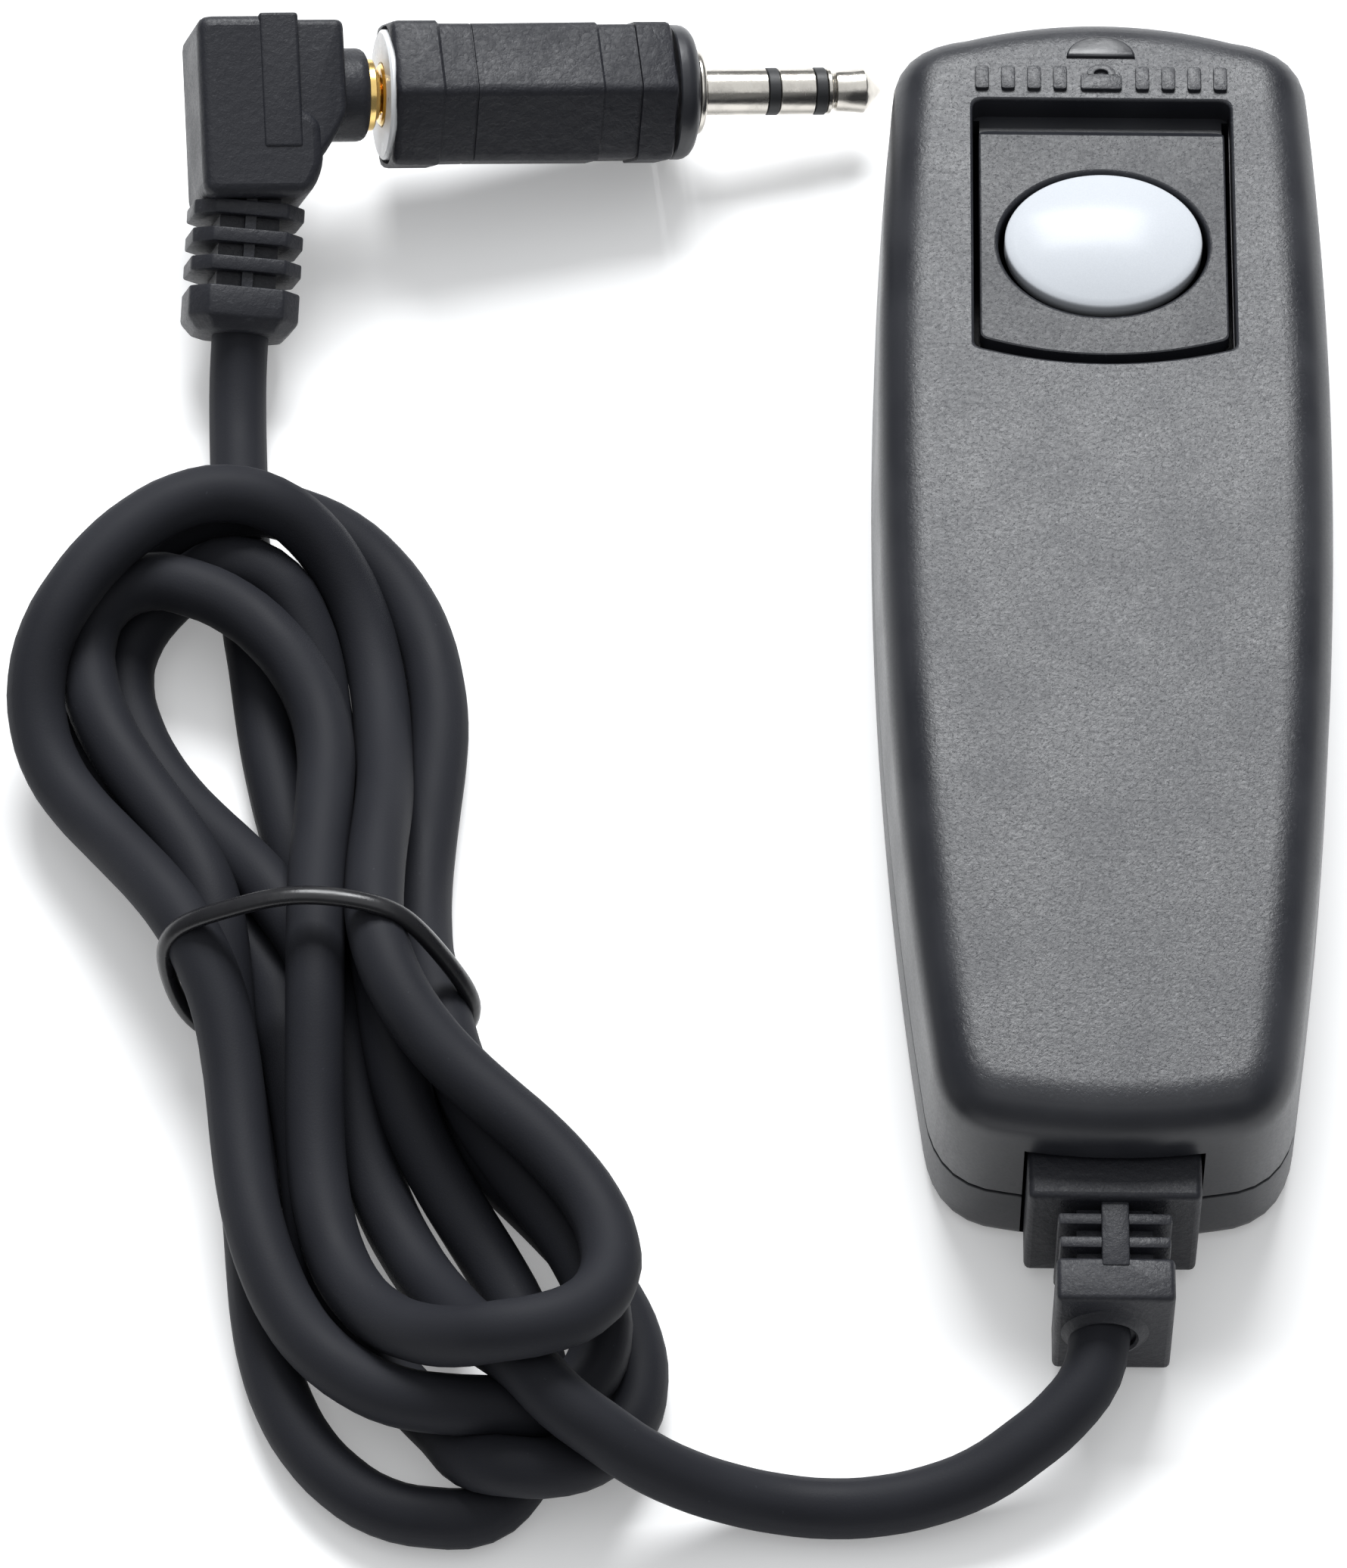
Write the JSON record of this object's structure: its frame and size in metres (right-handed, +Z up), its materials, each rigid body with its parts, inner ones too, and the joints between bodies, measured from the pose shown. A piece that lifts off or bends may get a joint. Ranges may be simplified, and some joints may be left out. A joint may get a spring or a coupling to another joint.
{
  "type": "wired shutter release",
  "caption": "Hand switch with a sliding lock and oval button, cable in a tied hank, right-angle plug and a push-on pin adaptor.",
  "frame": {"origin": "middle of the switch's underside, with the switch lying on its back", "axes": "+Y along the switch towards its button end, +Z up through the button, +X to the right seen from above with the button end away"},
  "size_m": [0.0947, 0.1247, 0.0189],
  "materials": {
    "shell_plastic": "fine spark-textured dark grey moulding",
    "slide_plastic": "fine spark-textured dark grey moulding",
    "silver_plastic": "glossy pale silver lacquer",
    "inner_plastic": "plain black moulding",
    "cord_plastic": "matt charcoal sheath",
    "overmould": "matt black moulding with a fine leathery grain",
    "adaptor_plastic": "satin black moulding with a fine leathery grain",
    "tie_plastic": "black twist tie with a soft gloss",
    "nickel": "bright nickel plate",
    "gold": "bright gold plate",
    "pale_face": "pale bright ring",
    "steel": "zinc-plated steel",
    "wire_plastic": "thin coloured insulation"
  },
  "bodies": {
    "root": {"upper_shell": "shell_plastic", "lower_shell": "shell_plastic", "shell_screw_1": "steel", "shell_screw_2": "steel", "shell_screw_3": "steel", "leaf_shutter": "steel", "contact_base": "inner_plastic", "contact_screw": "steel", "wire_common": "wire_plastic", "wire_focus": "wire_plastic", "wire_shutter": "wire_plastic", "body_strain_relief": "overmould", "cable_body_lead": "cord_plastic", "cable_hank": "cord_plastic", "cable_plug_lead": "cord_plastic", "cable_tie": "tie_plastic", "plug_overmould": "overmould", "jack_sleeve": "gold", "jack_insulator_1": "inner_plastic", "jack_ring": "gold", "jack_insulator_2": "inner_plastic", "jack_tip": "gold"},
    "lock": {"lock_slide": "slide_plastic"},
    "button": {"button_cap": "silver_plastic", "button_plunger": "inner_plastic"},
    "common_leaf": {"leaf_common": "steel"},
    "focus_leaf": {"leaf_focus": "steel"},
    "adaptor": {"adaptor_body": "adaptor_plastic", "adaptor_face": "pale_face", "socket_sleeve": "gold", "socket_tip_contact": "gold", "adaptor_nose": "adaptor_plastic", "adaptor_collar": "nickel", "pin_sleeve": "nickel", "pin_insulator_1": "inner_plastic", "pin_ring": "nickel", "pin_insulator_2": "inner_plastic", "pin_tip": "nickel"}
  },
  "joints": [
    {"name": "lock_travel", "type": "slide", "parent": "root", "child": "lock", "axis": [0, 1, 0], "range_m": [0, 0.0018]},
    {"name": "button_press", "type": "slide", "parent": "lock", "child": "button", "axis": [0, 0, -1], "range_m": [0, 0.0015], "stiffness_N_per_m": 900, "springref_m": -0.0004},
    {"name": "common_flex", "type": "hinge", "parent": "root", "child": "common_leaf", "pos_m": [0, 0.005, 0.0104], "axis": [-1, 0, 0], "range_deg": [0, 4]},
    {"name": "focus_flex", "type": "hinge", "parent": "root", "child": "focus_leaf", "pos_m": [0, 0.005, 0.0092], "axis": [-1, 0, 0], "range_deg": [0, 2.5]},
    {"name": "adaptor_pull", "type": "slide", "parent": "root", "child": "adaptor", "axis": [0.9781, 0.1375, -0.1564], "range_m": [0, 0.0105]}
  ],
  "couplings": [
    {"joint": "common_flex", "follows": "button_press", "rad_per_m": 42.4},
    {"joint": "focus_flex", "follows": "button_press", "rad_per_m": 24}
  ]
}
